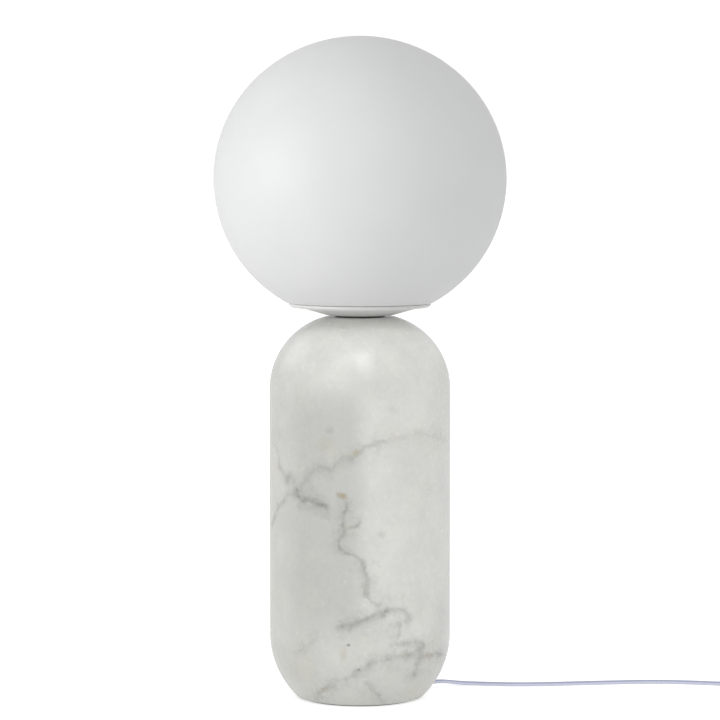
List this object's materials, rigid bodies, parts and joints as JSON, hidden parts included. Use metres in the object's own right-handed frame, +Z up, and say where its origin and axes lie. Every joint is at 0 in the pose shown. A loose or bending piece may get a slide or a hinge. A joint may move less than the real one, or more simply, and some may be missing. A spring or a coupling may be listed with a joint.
{
  "type": "table lamp",
  "caption": "Table lamp: opal glass globe lifted off a shallow metal dish, on a tall rounded stone base, with corded rocker switch and two-pin plug.",
  "frame": {"origin": "on the lamp's axis, on the table under the foot pad (bottom centre of the lamp without its cord)", "axes": "+Z up along the lamp's axis; -Y towards the picture's viewer; the cord leaves behind the base and runs along +X"},
  "size_m": [0.4849, 0.2705, 0.4537],
  "materials": {
    "stone": "honed white marble with soft grey veins and a few ochre stains",
    "pad": "dark needle felt",
    "zinc_steel": "zinc plated",
    "spring_steel": "bright rolled",
    "dish_paint": "satin white powder coat",
    "opal_glass": "satin opal, acid etched outside",
    "holder_resin": "white thermoset moulding",
    "ceramic": "unglazed steatite",
    "brass": "plain brass",
    "nickel": "bright nickel plate",
    "bulb_black": "black insulating glass",
    "bulb_white": "white moulded housing",
    "bulb_opal": "opal diffuser",
    "board_white": "white coated aluminium board",
    "board_green": "green solder mask",
    "nylon": "natural nylon",
    "cord_clear": "clear soft vinyl over two bright cores",
    "core_brown": "vinyl insulated core",
    "switch_clear": "smooth pale moulding",
    "rocker_white": "white moulded rocker",
    "plug_clear": "smooth pale soft vinyl",
    "pin_sleeve": "black insulating sleeve"
  },
  "bodies": {
    "base": {"marble_base": "stone", "foot_pad": "pad", "threaded_rod": "zinc_steel", "base_washer": "zinc_steel", "lock_washers": "zinc_steel", "rod_nuts": "zinc_steel", "rod_bushing": "nylon", "dish_spacer": "zinc_steel", "dish": "dish_paint", "clip_bracket": "zinc_steel", "clip_springs": "spring_steel", "clip_rivets": "zinc_steel", "holder_cap": "holder_resin", "holder_insert": "ceramic", "centre_contact": "brass", "socket_shell": "brass", "terminal_screws": "brass", "holder_shell": "holder_resin", "cord_relief": "plug_clear", "clamp_lower": "nylon", "clamp_upper": "nylon", "clamp_screws": "zinc_steel", "cord_in_base": "cord_clear", "holder_wires": "core_brown", "cord_lead": "cord_clear", "cord_link": "cord_clear", "cord_coil": "cord_clear", "cord_tail": "cord_clear", "switch_lower": "switch_clear", "switch_upper": "switch_clear", "rocker_pin": "zinc_steel", "switch_screws": "zinc_steel", "switch_contacts": "brass", "switch_wires": "core_brown", "plug_body": "plug_clear", "plug_pins": "brass", "plug_sleeves": "pin_sleeve"},
    "globe": {"glass_globe": "opal_glass"},
    "bulb": {"bulb_tip": "brass", "bulb_insulator": "bulb_black", "bulb_cap": "nickel", "bulb_housing": "bulb_white", "led_board": "board_white", "driver_board": "board_green", "bulb_dome": "bulb_opal"},
    "rocker": {"switch_rocker": "rocker_white"}
  },
  "joints": [
    {"name": "globe_lift", "type": "slide", "parent": "base", "child": "globe", "axis": [0, 0, 1], "range_m": [0, 0.14]},
    {"name": "bulb_turn", "type": "hinge", "parent": "base", "child": "bulb", "pos_m": [0, 0, 0.33], "axis": [0, 0, 1], "range_deg": [0, 1800]},
    {"name": "switch_rock", "type": "hinge", "parent": "base", "child": "rocker", "pos_m": [0.315, 0.037, 0.0115], "axis": [0, -1, 0], "range_deg": [0, 16]}
  ]
}
